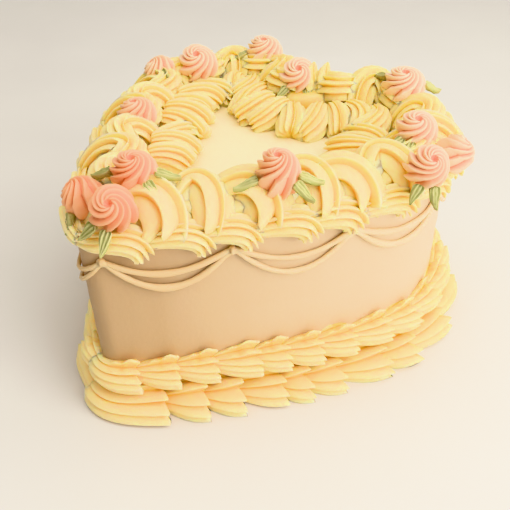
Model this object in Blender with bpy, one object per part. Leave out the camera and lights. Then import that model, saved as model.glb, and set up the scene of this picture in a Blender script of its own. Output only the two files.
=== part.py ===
# A heart shaped layer cake in smooth buttercream, with piped borders, string work, swirled roses and leaves.
# Metres, +Z up. The cake stands on z = 0, its tip points to -Y and its two lobes to +Y.
import math
import random

import bmesh
import bpy
import numpy as np
from mathutils import Matrix, Vector

# Driving dimensions of the heart, in plan measured from the point where its flanks would cross
HEART_WIDTH = 0.212
LEFT_SHARE = 0.93
HEART_LENGTH = 0.221
WIDEST_AT = 0.151
CLEFT_AT = 0.198
FLANK_ANGLE = math.radians(46.2)
FLANK_HANDLE = 0.066
WIDEST_HANDLE = 0.0395
LOBE_TOP_AT = 0.255
CLEFT_ANGLE = math.radians(32)
TIP_RADIUS = 0.012
CAKE_HEIGHT = 0.109
EDGE_BEVEL = 0.002
TIP_PLACE = (-0.0036, -0.1158, 0)

# Clearance between solids that touch, and between the side and the straight facets that follow it
GAP = 0.0003
WALL_GAP = 0.0009
CUT_GROWTH = 0.0006

# Base borders: two rows of shells, one on the other, their tails towards the tip
LOWER_SHELLS = 34
LOWER_REACH = 0.0245
LOWER_HEIGHT = 0.0195
UPPER_SHELLS = 36
UPPER_REACH = 0.0145
UPPER_MIDDLE = 0.0280
UPPER_TOP = 0.0385
ROW_ENDS = 0.0008
END_SIZE = 0.45
END_TAPER = 0.016
TURN_BACK = 0.5

# Top borders: shells that hang over the edge, reverse shells on it, shells round the flat centre
EDGE_SHELLS = 30
EDGE_REACH = 0.0105
EDGE_DROP = 0.0095
EDGE_HOOK = 0.0050
CREST_SHELLS = 28
CREST_FRONT = 0.0155
CREST_BACK = 0.0200
CREST_HALF_WIDTH = 0.0165
CREST_HEIGHT = 0.0225
CREST_SWING = 0.0070
CREST_ENDS = 0.014
LOBE_RISE = 0.45
LOBE_RISE_AT = (0.038, 0.206)
LOBE_RISE_REACH = 0.026
MOUND = (0.0, 0.0300, 0.0195, 0.0170)
INNER_SHELLS = 18
INNER_AT = 0.043
INNER_RADIUS = 0.0100
INNER_RISE = 1.45
INNER_START = 0.095
INNER_END = 0.020
INNER_TURN_BACK = 0.4

# String work: swags of two strings each, a hair off the side, with the sag and radius of each
SWAGS = 11
STRING_AT = 0.0023
STRING_STEPS = 5
JOIN_RADIUS = 0.0026
JOIN_AT = 0.0034
SWAG_START = 0.011
STRING_TOP = 0.0967
STRINGS = [(0.0095, 0.0014), (0.0185, 0.0016)]

# Roses: x, y and z of the base, diameter, height, tilt in degrees and the compass bearing it leans to
CAMERA_SIDE = -50.0
IMAGE_LEFT = -141.0
ROSES = [
    (-0.005, 0.0200, 0.117, 0.0212, 0.017, 42, IMAGE_LEFT),
    (0.013, 0.018, 0.121, 0.0235, 0.018, 42, CAMERA_SIDE),
    (0.0065, 0.0368, 0.126, 0.0240, 0.016, 10, CAMERA_SIDE),
    (-0.049, 0.091, 0.120, 0.0240, 0.015, 8, IMAGE_LEFT),
    (-0.084, 0.147, 0.121, 0.0225, 0.015, 35, IMAGE_LEFT),
    (-0.072, 0.166, 0.123, 0.0275, 0.017, 28, CAMERA_SIDE),
    (-0.049, 0.207, 0.123, 0.0260, 0.016, 8, CAMERA_SIDE),
    (-0.0075, 0.1880, 0.1230, 0.0245, 0.017, 36, CAMERA_SIDE),
    (0.059, 0.201, 0.127, 0.0265, 0.016, 10, CAMERA_SIDE),
    (0.090, 0.157, 0.125, 0.0240, 0.015, 16, CAMERA_SIDE),
    (0.107, 0.132, 0.122, 0.0230, 0.018, 38, -36.0),
    (0.108, 0.156, 0.117, 0.0215, 0.017, 40, 39.0),
    (0.059, 0.079, 0.121, 0.0230, 0.022, 10, CAMERA_SIDE),
]
ROSE_RIDGES = 7
ROSE_DEPTH = 0.14
ROSE_TWIST = math.radians(150)

# Leaves: the rose each grows from, its bearing in plan, its length and how far it hangs in degrees
LEAVES = [
    (1, -112, 0.011, 30), (2, -92, 0.012, 20), (2, -60, 0.012, 20), (3, -12, 0.014, 15), (3, 30, 0.014, 5),
    (3, -146, 0.011, 20), (4, 153, 0.010, 20), (4, -88, 0.012, 15), (5, -58, 0.012, 10), (5, -22, 0.012, 10),
    (7, -127, 0.012, 15), (8, -86, 0.013, 8), (8, -30, 0.013, 2), (8, -4, 0.012, 5), (9, 174, 0.012, 10),
    (9, 35, 0.011, 20), (10, -100, 0.012, 15), (10, -72, 0.011, 15), (11, -66, 0.011, 25), (11, -34, 0.012, 25),
    (13, -119, 0.013, 15), (13, 30, 0.013, 10), (13, -2, 0.013, 20),
]
LEAF_WIDTH = 0.0078
LEAF_THICKNESS = 0.0013
LEAF_FOLD = 0.0012

# Two peaks drawn up from the icing at the back, by the cleft: the foot and the tip of each
PEAKS = [((-0.004, 0.184, 0.117), (-0.001, 0.1955, 0.135)), ((0.006, 0.188, 0.117), (0.0045, 0.201, 0.135))]
PEAK_RADIUS = 0.0065


def bezier(p0, p1, p2, p3, count):
    """Points of a cubic curve, its last point left out."""
    t = np.linspace(0, 1, count, endpoint=False)[:, None]
    return (1 - t) ** 3 * p0 + 3 * (1 - t) ** 2 * t * p1 + 3 * (1 - t) * t * t * p2 + t ** 3 * p3


def resample(points, step, closed):
    """The same line with its points one step apart."""
    line = np.vstack([points, points[:1]]) if closed else points
    length = np.r_[0, np.cumsum(np.hypot(*np.diff(line, axis=0).T))]
    count = max(8, round(length[-1] / step))
    at = np.linspace(0, length[-1], count, endpoint=not closed)
    return np.column_stack([np.interp(at, length, line[:, 0]), np.interp(at, length, line[:, 1])])


def right_half():
    """Right half of the heart, from the tip to the cleft."""
    flank = np.array([math.sin(FLANK_ANGLE), math.cos(FLANK_ANGLE)])
    tangent_at = TIP_RADIUS / math.tan(FLANK_ANGLE)
    centre = np.array([0, TIP_RADIUS / math.sin(FLANK_ANGLE)])
    angles = np.linspace(-math.pi / 2, -FLANK_ANGLE, 10, endpoint=False)
    tip = centre + TIP_RADIUS * np.column_stack([np.cos(angles), np.sin(angles)])
    widest = np.array([HEART_WIDTH / 2, WIDEST_AT])
    lobe_x = HEART_WIDTH * LOBE_TOP_AT
    lobe = np.array([lobe_x, HEART_LENGTH])
    cleft = np.array([0, CLEFT_AT])
    up = np.array([0, 1.0])
    out = np.array([1.0, 0])
    round_off = 0.5523
    into_cleft = np.array([math.sin(CLEFT_ANGLE), math.cos(CLEFT_ANGLE)])
    side = bezier(flank * tangent_at, flank * FLANK_HANDLE, widest - up * WIDEST_HANDLE, widest, 120)
    shoulder = bezier(widest, widest + up * (HEART_LENGTH - WIDEST_AT) * round_off,
                      lobe + out * (HEART_WIDTH / 2 - lobe_x) * round_off, lobe, 90)
    inward = bezier(lobe, lobe - out * lobe_x * 0.62, cleft + into_cleft * 0.013, cleft, 60)
    return np.vstack([tip, side, shoulder, inward, cleft])


def outline(step=0.001):
    """The heart's points and outward normals, anticlockwise from the tip, fanned at the cleft."""
    right = resample(right_half(), step, closed=False)
    left = right[::-1][1:-1] * [-LEFT_SHARE, 1]
    points = np.vstack([right, left])
    tangents = np.roll(points, -1, 0) - np.roll(points, 1, 0)
    tangents /= np.linalg.norm(tangents, axis=1)[:, None]
    normals = np.column_stack([tangents[:, 1], -tangents[:, 0]])
    corner = len(right) - 1
    side_normal = math.pi - CLEFT_ANGLE
    fan = np.linspace(side_normal, math.pi - side_normal, 24)
    points = np.vstack([points[:corner], np.repeat(points[corner:corner + 1], 24, 0), points[corner + 1:]])
    normals = np.vstack([normals[:corner], np.column_stack([np.cos(fan), np.sin(fan)]), normals[corner + 1:]])
    return points, normals


def offset_path(distance, rounds=0):
    """A line at a distance outside the heart, or inside where it is negative, trimmed where it crosses."""
    points, normals = outline()
    distance = np.broadcast_to(distance, len(points))
    moved = points + normals * distance[:, None]
    nearest = np.min(np.linalg.norm(moved[:, None] - points[None], axis=2), axis=1)
    path = resample(moved[nearest > np.abs(distance) - 0.0003], 0.001, closed=True)
    near_cleft = (np.abs(path[:, 0]) < 0.03) & (path[:, 1] > 0.14)
    eased = near_cleft[:, None] if np.all(distance > 0) else True
    for _ in range(rounds):
        path = np.where(eased, (np.roll(path, 1, 0) + 2 * path + np.roll(path, -1, 0)) / 4, path)
    return resample(path, 0.001, closed=True)


class Walk:
    """Places along a closed line, by distance from its point nearest the tip."""

    def __init__(self, path):
        path = np.roll(path, -int(np.argmin(path[:, 1])), 0)
        self.line = np.vstack([path, path[:1]])
        self.at = np.r_[0, np.cumsum(np.hypot(*np.diff(self.line, axis=0).T))]
        self.length = self.at[-1]

    def point(self, s):
        s = s % self.length
        return np.array([np.interp(s, self.at, self.line[:, 0]), np.interp(s, self.at, self.line[:, 1])])

    def frame(self, s):
        """Point, forward direction and outward direction."""
        forward = self.point(s + 0.0015) - self.point(s - 0.0015)
        forward /= np.linalg.norm(forward)
        return self.point(s), forward, np.array([forward[1], -forward[0]])


def buttercream(name, colour):
    """A soft icing finish."""
    material = bpy.data.materials.new(name)
    material.use_nodes = True
    shader = material.node_tree.nodes["Principled BSDF"]
    shader.inputs["Base Color"].default_value = (*colour, 1)
    shader.inputs["Roughness"].default_value = 0.55
    shader.inputs["Metallic"].default_value = 0
    return material


def finish(bm, name, material):
    """Turn a bmesh into an object in heart places, shaded smooth between its ridges."""
    bmesh.ops.recalc_face_normals(bm, faces=bm.faces)
    mesh = bpy.data.meshes.new(name)
    bm.to_mesh(mesh)
    bm.free()
    mesh.shade_smooth()
    mesh.set_sharp_from_angle(angle=math.radians(50))
    mesh.materials.append(material)
    piece = bpy.data.objects.new(name, mesh)
    bpy.context.collection.objects.link(piece)
    return piece


def extrude_ring(bm, ring, places):
    """Carry a closed ring of vertices on to new places."""
    edges = [bm.edges.get((a, b)) for a, b in zip(ring, ring[1:] + ring[:1])]
    made = bmesh.ops.extrude_edge_only(bm, edges=edges)["geom"]
    fresh = {item for item in made if isinstance(item, bmesh.types.BMVert)}
    copies = [next(e.other_vert(v) for e in v.link_edges if e.other_vert(v) in fresh) for v in ring]
    for copy, place in zip(copies, places):
        copy.co = place
    return copies


def close_ring(bm, ring):
    """Cap a ring with a fan of triangles."""
    edges = [bm.edges.get((a, b)) for a, b in zip(ring, ring[1:] + ring[:1])]
    face = bmesh.ops.contextual_create(bm, geom=edges)["faces"]
    bmesh.ops.poke(bm, faces=face)


def loft(name, rings, material):
    """A closed skin through rings with equal numbers of points."""
    bm = bmesh.new()
    first = bmesh.ops.create_circle(bm, cap_ends=False, segments=len(rings[0]), radius=1)["verts"]
    for vertex, place in zip(first, rings[0]):
        vertex.co = place
    ring = list(first)
    for places in rings[1:]:
        ring = extrude_ring(bm, ring, places)
    close_ring(bm, list(first))
    close_ring(bm, ring)
    return finish(bm, name, material)


def star(ridges, start, stop, depth):
    """Angles and radius factors of a row of ridges with sharp grooves between them."""
    steps = 2 * ridges
    angles = np.linspace(start, stop, steps + 1)
    factors = np.array([1 - depth * (k % 2 == 0) for k in range(steps + 1)])
    return angles, factors


# One shell from its tail to its head: where along it and how full
SHELL = [(0.0, 0.66), (0.72, 1.0), (0.97, 0.90)]
END_SHELL = [(0.0, 0.66), (0.24, 0.8), (0.48, 0.92), (0.72, 1.0), (0.97, 0.90)]


def shell_row(name, path, span, count, section, material, turn_back):
    """Shells drawn out one after another: each swells to its head and drops to the next one's tail.

    Past the share turn_back of the row the tails point the other way.
    """
    walk = Walk(path)
    start, stop = span[0], walk.length - span[1]
    unevenness = random.Random(name)
    rings = []
    for k in range(count):
        size = unevenness.uniform(0.95, 1.0)
        forward = k < count * turn_back
        steps = END_SHELL if k in (0, count - 1) else SHELL
        if not forward:
            steps = [(1 - share, swell) for share, swell in steps[::-1]]
        for share, swell in steps:
            s = start + (stop - start) * (k + share) / count
            swell *= min(1, END_SIZE + min(s - start, stop - s) / END_TAPER)
            place, _, outward = walk.frame(s)
            droop = share if forward else 1 - share
            rings.append([Vector((*(place + outward * u), z)) for u, z in section(size * swell, droop)])
    return loft(name, rings, material)


def lower_section(swell, _):
    """Quarter round that stands against the foot of the side, in distances from the row's line."""
    angles, factors = star(3, math.radians(90), 0, 0.13)
    wall = WALL_GAP - LOWER_REACH / 2
    reach = (LOWER_REACH - WALL_GAP) * swell
    points = [(wall + reach * f * math.cos(a), LOWER_HEIGHT * swell * f * math.sin(a))
              for a, f in zip(angles, factors)]
    return [(wall, 0), *points]


def upper_section(swell, _):
    """Round roll that leans on the side above the lower row."""
    angles, factors = star(3, math.radians(90), math.radians(-38), 0.13)
    wall = WALL_GAP - UPPER_REACH / 2
    floor = LOWER_HEIGHT + GAP
    rise = UPPER_TOP - UPPER_MIDDLE
    reach = (UPPER_REACH - WALL_GAP) * swell
    points = [(wall + reach * f * math.cos(a), UPPER_MIDDLE + rise * swell * f * math.sin(a))
              for a, f in zip(angles, factors)]
    return [(wall, floor), *points[:-1], (points[-1][0], floor)]


def edge_section(swell, share):
    """Roll that wraps the cake's top edge, its head hooked down over the side."""
    angles, factors = star(3, math.radians(104), math.radians(-78), 0.15)
    wall = WALL_GAP - EDGE_REACH / 2
    reach = (EDGE_REACH - WALL_GAP) * swell
    middle = CAKE_HEIGHT + EDGE_HOOK * (0.5 - share)
    points = [(wall + reach * f * math.cos(a), middle + EDGE_DROP * swell * f * math.sin(a))
              for a, f in zip(angles, factors)]
    floor = CAKE_HEIGHT + GAP
    points = [(max(u, wall), z) if z < floor else (u, z) for u, z in points]
    return [(wall, floor), (wall - 0.004, floor), *points]


def inner_section(swell, _):
    """Half round shell that lies on the cake's top."""
    angles, factors = star(3, math.radians(180), math.radians(0), 0.14)
    floor = CAKE_HEIGHT + GAP
    radius = INNER_RADIUS * swell
    return [(radius * f * math.cos(a), floor + INNER_RISE * radius * f * math.sin(a))
            for a, f in zip(angles, factors)]


def cake_prism(name, material):
    """The heart as an upright block with a rounded upper edge."""
    path = resample(outline()[0], 0.0085, closed=True)
    bm = bmesh.new()
    ring = list(bmesh.ops.create_circle(bm, cap_ends=False, segments=len(path), radius=1)["verts"])
    for vertex, (x, y) in zip(ring, path):
        vertex.co = (x, y, 0)
    edges = [bm.edges.get((a, b)) for a, b in zip(ring, ring[1:] + ring[:1])]
    floor = bmesh.ops.contextual_create(bm, geom=edges)["faces"]
    raised = bmesh.ops.extrude_face_region(bm, geom=floor)["geom"]
    lifted = [item for item in raised if isinstance(item, bmesh.types.BMVert)]
    bmesh.ops.translate(bm, verts=lifted, vec=(0, 0, CAKE_HEIGHT))
    rim = [e for e in bm.edges if all(v.co.z > CAKE_HEIGHT / 2 for v in e.verts)]
    bmesh.ops.bevel(bm, geom=rim, offset=EDGE_BEVEL, segments=1, affect="EDGES")
    return finish(bm, name, material)


def tube(name, points, radius, sides, material):
    """A thin round string through points."""
    rings = []
    for k, point in enumerate(points):
        ahead = Vector(points[min(k + 1, len(points) - 1)]) - Vector(points[max(k - 1, 0)])
        turn = ahead.to_track_quat("Z", "Y").to_matrix()
        ring = [Vector((math.cos(a), math.sin(a), 0)) * radius
                for a in (2 * math.pi * i / sides for i in range(sides))]
        rings.append([Vector(point) + turn @ corner for corner in ring])
    return loft(name, rings, material)


def cone(name, foot, tip, radius, material):
    """A leaning cone between two places, a little blunt."""
    axis = Vector(tip) - Vector(foot)
    turn = axis.to_track_quat("Z", "Y").to_matrix().to_4x4()
    bm = bmesh.new()
    bmesh.ops.create_cone(bm, cap_ends=True, segments=6, radius1=radius, radius2=radius / 10, depth=axis.length,
                          matrix=Matrix.Translation((Vector(tip) + Vector(foot)) / 2) @ turn)
    return finish(bm, name, material)


def string_work(material):
    """Drooping strings round the side, with a bead of icing at each of their joins."""
    walk = Walk(offset_path(STRING_AT, 20))
    bead_walk = Walk(offset_path(JOIN_AT, 20))
    shares = [k / STRING_STEPS for k in range(STRING_STEPS)]
    tip_shares = [k / STRING_STEPS / 2 for k in range(2 * STRING_STEPS + 1)]
    stations = [(k, share) for k in range(SWAGS) for share in (shares if k < SWAGS - 1 else tip_shares)]
    pieces = []
    for sag, radius in STRINGS:
        route = []
        for k, share in stations:
            x, y = walk.point(SWAG_START + walk.length * (k + share) / SWAGS)
            route.append((x, y, STRING_TOP - sag * (1 - (2 * share - 1) ** 2)))
        pieces.append(tube("string_work", route, radius, 3, material))
    for k in range(SWAGS):
        x, y = bead_walk.point(SWAG_START + bead_walk.length * k / SWAGS)
        bm = bmesh.new()
        bmesh.ops.create_uvsphere(bm, u_segments=5, v_segments=3, radius=JOIN_RADIUS,
                                  matrix=Matrix.Translation((x, y, STRING_TOP)))
        pieces.append(finish(bm, "join", material))
    return pieces


def crest_offset():
    """How far inside the edge the reverse shells run: nearer to it on the right half."""
    points, _ = outline()
    length = np.r_[0, np.cumsum(np.hypot(*np.diff(points, axis=0).T))]
    rise = np.clip((length - 0.02) / 0.03, 0, 1) * np.clip((0.33 - length) / 0.03, 0, 1)
    return -(CREST_BACK + (CREST_FRONT - CREST_BACK) * rise)


# A reverse shell along its share of the row: where, how far its top leans to one side and its size
CURL = [(0.04, 0.1, 0.66), (0.36, 0.9, 1.0), (0.84, 0.8, 0.93)]


def crest_row(name, grow, material):
    """Reverse shells, their tops curling outward and inward by turns, on the top's edge."""
    walk = Walk(offset_path(crest_offset(), rounds=60))
    run = walk.length - 2 * CREST_ENDS
    unevenness = random.Random("crest")
    angles, factors = star(4, math.pi, 0, 0.15)
    rings = []
    for k in range(CREST_SHELLS):
        side = 1 if k % 2 == 0 else -1
        uneven = unevenness.uniform(0.93, 1.0)
        for share, across, size in CURL:
            place, _, outward = walk.frame(CREST_ENDS + run * (k + share) / CREST_SHELLS)
            away = math.dist(place, LOBE_RISE_AT) / LOBE_RISE_REACH
            heap = 1 + LOBE_RISE * math.exp(-away * away)
            ring = []
            for a, f in zip(angles, factors):
                wide = CREST_HALF_WIDTH * (0.45 + 0.55 * size) * f + grow
                high = CREST_HEIGHT * size * uneven * heap * f + grow
                u = wide * math.cos(a) + side * CREST_SWING * across * math.sin(a)
                ring.append(Vector((*(place + outward * u), CAKE_HEIGHT + GAP - grow + high * math.sin(a))))
            rings.append(ring)
    return loft(name, rings, material)


def mound(grow, material):
    """The heap of cream under the roses at the tip."""
    x, y, radius, height = MOUND
    rings = []
    for high in (0.0, 0.55, 0.9):
        wide = (radius + grow) * math.sqrt(1 - high * high)
        rings.append([Vector((x + wide * math.cos(a), y + wide * math.sin(a),
                              CAKE_HEIGHT + GAP - grow + (height + 2 * grow) * high))
                      for a in (2 * math.pi * i / 12 for i in range(12))])
    return loft("mound", rings, material)


def peaks(grow, material):
    """Pointed icing where the bag was pulled away."""
    return [cone("peak", foot, tip, PEAK_RADIUS + grow, material) for foot, tip in PEAKS]


def swirl(name, diameter, height, ridges, depth, twist, material):
    """A piped rose: a ridged dome whose ridges wind up to a small tip."""
    profile = [(0.78, 0.0), (1.0, 0.34), (0.78, 0.76), (0.25, 1.0)]
    rings = []
    for wide, high in profile:
        angles, factors = star(ridges, 0, 2 * math.pi, depth)
        turn = twist * high
        rings.append([Vector((diameter / 2 * wide * f * math.cos(a + turn),
                              diameter / 2 * wide * f * math.sin(a + turn), height * high))
                      for a, f in zip(angles[:-1], factors[:-1])])
    return loft(name, rings, material)


def rose_seat(diameter, height, material):
    """A smooth dome just larger than a rose, to clear its place."""
    rings = []
    for wide, high in ((0.92, -0.02), (1.11, 0.34), (0.92, 0.80)):
        radius = diameter / 2 * wide
        rings.append([Vector((radius * math.cos(a), radius * math.sin(a), height * high))
                      for a in (2 * math.pi * i / 8 for i in range(8))])
    return loft("seat", rings, material)


def leaf(name, length, material):
    """A pointed leaf with a fold along its middle and a wave at its edges, starting at the origin along +X."""
    stations = [(0, 0.75, 0.0), (0.4 * length, 1.0, 0.0008), (length, 0.12, 0.0)]
    bm = bmesh.new()
    bmesh.ops.create_grid(bm, x_segments=2, y_segments=2, size=1)
    for vertex in bm.verts:
        x, wide, wave = stations[round(vertex.co.x) + 1]
        across = vertex.co.y
        vertex.co = (x, across * LEAF_WIDTH / 2 * wide, wave + LEAF_FOLD * abs(across) * wide)
    bmesh.ops.triangulate(bm, faces=bm.faces)
    raised = bmesh.ops.extrude_face_region(bm, geom=list(bm.faces), use_keep_orig=True)["geom"]
    lifted = [item for item in raised if isinstance(item, bmesh.types.BMVert)]
    bmesh.ops.translate(bm, verts=lifted, vec=(0, 0, LEAF_THICKNESS))
    return finish(bm, name, material)


def leaf_seat(length, material):
    """A block just larger than a leaf, to clear its place."""
    bm = bmesh.new()
    height = LEAF_THICKNESS + LEAF_FOLD + 0.0008 + 2 * GAP
    size = Matrix.Diagonal((length + 2 * GAP, LEAF_WIDTH + 2 * GAP, height, 1))
    bmesh.ops.create_cube(bm, size=1, matrix=Matrix.Translation((length / 2, 0, height / 2 - GAP)) @ size)
    return finish(bm, "seat", material)


def lean(x, y, z, tilt, bearing):
    """Stand a piece at a place, tilted towards a bearing in plan."""
    turn = Matrix.Rotation(math.radians(bearing), 4, "Z") @ Matrix.Rotation(math.radians(tilt), 4, "Y")
    return Matrix.Translation((x, y, z)) @ turn


def apply_boolean(target, others, operation):
    """Join or cut with a group of objects, then remove them."""
    group = bpy.data.collections.new("group")
    for other in others:
        group.objects.link(other)
    step = target.modifiers.new(operation, "BOOLEAN")
    step.operation = operation
    step.operand_type = "COLLECTION"
    step.collection = group
    step.solver = "MANIFOLD"
    seen = target.evaluated_get(bpy.context.evaluated_depsgraph_get())
    mesh = bpy.data.meshes.new_from_object(seen)
    target.modifiers.clear()
    target.data = mesh
    for other in others:
        bpy.data.objects.remove(other)
    bpy.data.collections.remove(group)
    return target


def island_of(start):
    """All faces joined to one face."""
    found = {start}
    queue = [start]
    while queue:
        for edge in queue.pop().edges:
            for face in edge.link_faces:
                if face not in found:
                    found.add(face)
                    queue.append(face)
    return found


def drop_scraps(piece):
    """Keep the largest body."""
    bm = bmesh.new()
    bm.from_mesh(piece.data)
    left = set(bm.faces)
    islands = []
    while left:
        island = island_of(next(iter(left)))
        left -= island
        islands.append(island)
    islands.sort(key=len)
    for island in islands[:-1]:
        bmesh.ops.delete(bm, geom=list(island), context="FACES")
    bmesh.ops.delete(bm, geom=[v for v in bm.verts if not v.link_faces], context="VERTS")
    bm.to_mesh(piece.data)
    bm.free()


def place_rose(piece, number):
    """Set a rose or its seat where that rose lies."""
    x, y, z, _, _, tilt, bearing = ROSES[number - 1]
    piece.matrix_world = lean(x, y, z, tilt, bearing)


def place_leaf(piece, number, bearing, hang):
    """Set a leaf or its seat at the rim of its rose."""
    x, y, z, diameter, height, tilt, towards = ROSES[number - 1]
    seat = lean(x, y, z, tilt, towards)
    turn = math.radians(bearing)
    plan = Vector((math.cos(turn), math.sin(turn), 0))
    axis = seat.to_3x3() @ Vector((0, 0, 1))
    along = (plan - axis * plan.dot(axis)).normalized()
    start = seat @ Vector((0, 0, 0.34 * height)) + along * (diameter / 2 + GAP * 2)
    side = axis.cross(along)
    frame = Matrix((along, side, axis)).transposed().to_4x4()
    piece.matrix_world = Matrix.Translation(start) @ frame @ Matrix.Rotation(math.radians(hang), 4, "Y")


def seats(material):
    """Cutters that clear the roses' and leaves' places."""
    cutters = []
    for number, (_, _, _, diameter, height, _, _) in enumerate(ROSES, 1):
        seat = rose_seat(diameter, height, material)
        place_rose(seat, number)
        cutters.append(seat)
    for number, bearing, length, hang in LEAVES:
        seat = leaf_seat(length, material)
        place_leaf(seat, number, bearing, hang)
        cutters.append(seat)
    return cutters


def build():
    for old in list(bpy.data.objects):
        bpy.data.objects.remove(old)
    icing = buttercream("smooth_icing", (0.86, 0.66, 0.42))
    cream = buttercream("piped_cream", (0.95, 0.76, 0.38))
    pink = buttercream("pink_cream", (0.90, 0.45, 0.33))
    green = buttercream("green_cream", (0.55, 0.60, 0.20))

    cake_prism("cake", icing)
    strings, *others = string_work(icing)
    apply_boolean(strings, others, "UNION")

    ends = (ROW_ENDS, ROW_ENDS)
    shell_row("base_border_lower", offset_path(LOWER_REACH / 2, 60), ends, LOWER_SHELLS, lower_section, cream,
              TURN_BACK)
    shell_row("base_border_upper", offset_path(UPPER_REACH / 2, 60), ends, UPPER_SHELLS, upper_section, cream,
              TURN_BACK)
    edge = shell_row("top_border_edge", offset_path(EDGE_REACH / 2, 60), ends, EDGE_SHELLS,
                     edge_section, cream, TURN_BACK)
    inner = shell_row("top_border_inner", offset_path(-INNER_AT, 60), (INNER_START, INNER_END), INNER_SHELLS,
                      inner_section, cream, INNER_TURN_BACK)
    crest = crest_row("top_border_crest", 0.0, cream)
    apply_boolean(crest, [mound(0.0, cream), *peaks(0.0, cream)], "UNION")
    for piece in (edge, inner):
        apply_boolean(piece, [crest_row("cutter", CUT_GROWTH, cream), mound(CUT_GROWTH, cream),
                              *peaks(CUT_GROWTH, cream)], "DIFFERENCE")
    for piece in (crest, edge, inner):
        apply_boolean(piece, seats(cream), "DIFFERENCE")

    for number, (_, _, _, diameter, height, _, _) in enumerate(ROSES, 1):
        rose = swirl(f"rose_{number:02d}", diameter, height, ROSE_RIDGES, ROSE_DEPTH, ROSE_TWIST, pink)
        place_rose(rose, number)
    for count, (number, bearing, length, hang) in enumerate(LEAVES, 1):
        place_leaf(leaf(f"leaf_{count:02d}", length, green), number, bearing, hang)
    for piece in (strings, crest, edge, inner):
        drop_scraps(piece)

    tip = bpy.data.objects.new("heart_tip", None)
    tip.location = TIP_PLACE
    bpy.context.collection.objects.link(tip)
    for piece in [item for item in bpy.data.objects if item.type == "MESH"]:
        piece.parent = tip
    bpy.context.view_layer.update()


build()
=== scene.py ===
# A heart shaped layer cake: smooth buttercream sides with string work, shells at its foot and on its
# edge, swirled roses and small leaves on the top.
import math
import random

import bmesh
import bpy
import numpy as np
from mathutils import Matrix, Vector


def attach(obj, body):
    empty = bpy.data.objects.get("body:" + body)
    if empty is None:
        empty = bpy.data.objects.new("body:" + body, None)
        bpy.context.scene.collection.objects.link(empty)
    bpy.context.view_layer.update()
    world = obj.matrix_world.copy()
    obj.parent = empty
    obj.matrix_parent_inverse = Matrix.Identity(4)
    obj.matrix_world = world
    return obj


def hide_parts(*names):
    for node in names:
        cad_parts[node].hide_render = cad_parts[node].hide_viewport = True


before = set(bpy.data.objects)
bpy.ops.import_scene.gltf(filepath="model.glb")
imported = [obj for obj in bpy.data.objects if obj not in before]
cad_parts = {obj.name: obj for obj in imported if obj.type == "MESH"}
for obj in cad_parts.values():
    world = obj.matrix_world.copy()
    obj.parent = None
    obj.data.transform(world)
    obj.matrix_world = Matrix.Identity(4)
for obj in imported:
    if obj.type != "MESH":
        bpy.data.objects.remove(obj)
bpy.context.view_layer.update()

# The view: from above at about 37 degrees, with the tip of the heart at the left of the picture and its
# right flank nearly square to the lens, which is of normal length.
lens = bpy.data.cameras.new("photo_view")
lens.lens = 45.6
lens.sensor_width = 36
lens.clip_start = 0.01
view = bpy.data.objects.new("photo_view", lens)
across = Vector((0.78163, 0.62345, -0.01918))
upward = Vector((-0.36191, 0.47834, 0.80013))
turn = Matrix((across, upward, across.cross(upward))).transposed().to_4x4()
view.matrix_world = Matrix.Translation((0.21552, -0.24972, 0.28148)) @ turn
bpy.context.collection.objects.link(view)
bpy.context.scene.camera = view


class Amount:
    """A number that varies over a surface. Arithmetic on it adds Math nodes."""

    def __init__(self, finish, socket):
        self.finish = finish
        self.socket = socket

    def work(self, operation, first, second):
        return self.finish.add("ShaderNodeMath", {"operation": operation}, {0: first, 1: second})

    def __add__(self, other):
        return self.work("ADD", self, other)

    __radd__ = __add__

    def __mul__(self, other):
        return self.work("MULTIPLY", self, other)

    __rmul__ = __mul__

    def __pow__(self, other):
        return self.work("POWER", self, other)


class Finish:
    """One material, or the room's light, with one method that adds any node to it."""

    def __init__(self, name, room=None):
        self.material = room or bpy.data.materials.new(name)
        self.material.use_nodes = True
        self.tree = self.material.node_tree
        self.shader = self.tree.nodes["Background" if room else "Principled BSDF"]

    def add(self, kind, settings=None, inputs=None, output=0):
        node = self.tree.nodes.new(kind)
        for key, value in (settings or {}).items():
            setattr(node, key, value)
        self.fill(node, inputs or {})
        return Amount(self, node.outputs[output])

    def fill(self, node, inputs):
        for key, value in inputs.items():
            if isinstance(value, Amount):
                self.tree.links.new(value.socket, node.inputs[key])
            else:
                node.inputs[key].default_value = value

    def blend(self, share, first, second):
        """A colour between two, by a share from 0 to 1."""
        first, second = [c if isinstance(c, Amount) else (*c, 1) for c in (first, second)]
        return self.add("ShaderNodeMix", {"data_type": "RGBA"}, {0: share, 6: first, 7: second}, output=2)

    def backward(self):
        """How far back a place is, from 0 near the tip of the heart to 1 at its lobes."""
        place = self.add("ShaderNodeTexCoord", output="Object")
        y = self.add("ShaderNodeSeparateXYZ", inputs={"Vector": place}, output="Y")
        return self.add("ShaderNodeMapRange", inputs={"Value": y, "From Min": -0.09, "From Max": 0.08})

    def grain(self, scale, detail, stretch=(1, 1, 1)):
        """Soft noise fixed to the piece, from 0 to 1."""
        place = self.add("ShaderNodeTexCoord", output="Object")
        place = self.add("ShaderNodeMapping", inputs={"Vector": place, "Scale": stretch})
        return self.add("ShaderNodeTexNoise", inputs={"Vector": place, "Scale": scale, "Detail": detail})

    def fold(self):
        """Painted shade, 0 to 1, by how deep in a fold of the icing a place lies; on the cake, painted top
        light.
        """
        return self.add("ShaderNodeAttribute", {"attribute_name": "fold"}, output="Fac")

    def relief(self, height, strength, distance):
        """Fine bumps, raised by the distance in metres where the height is 1."""
        return self.add("ShaderNodeBump", inputs={
            "Height": height, "Strength": strength, "Distance": distance})


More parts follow.
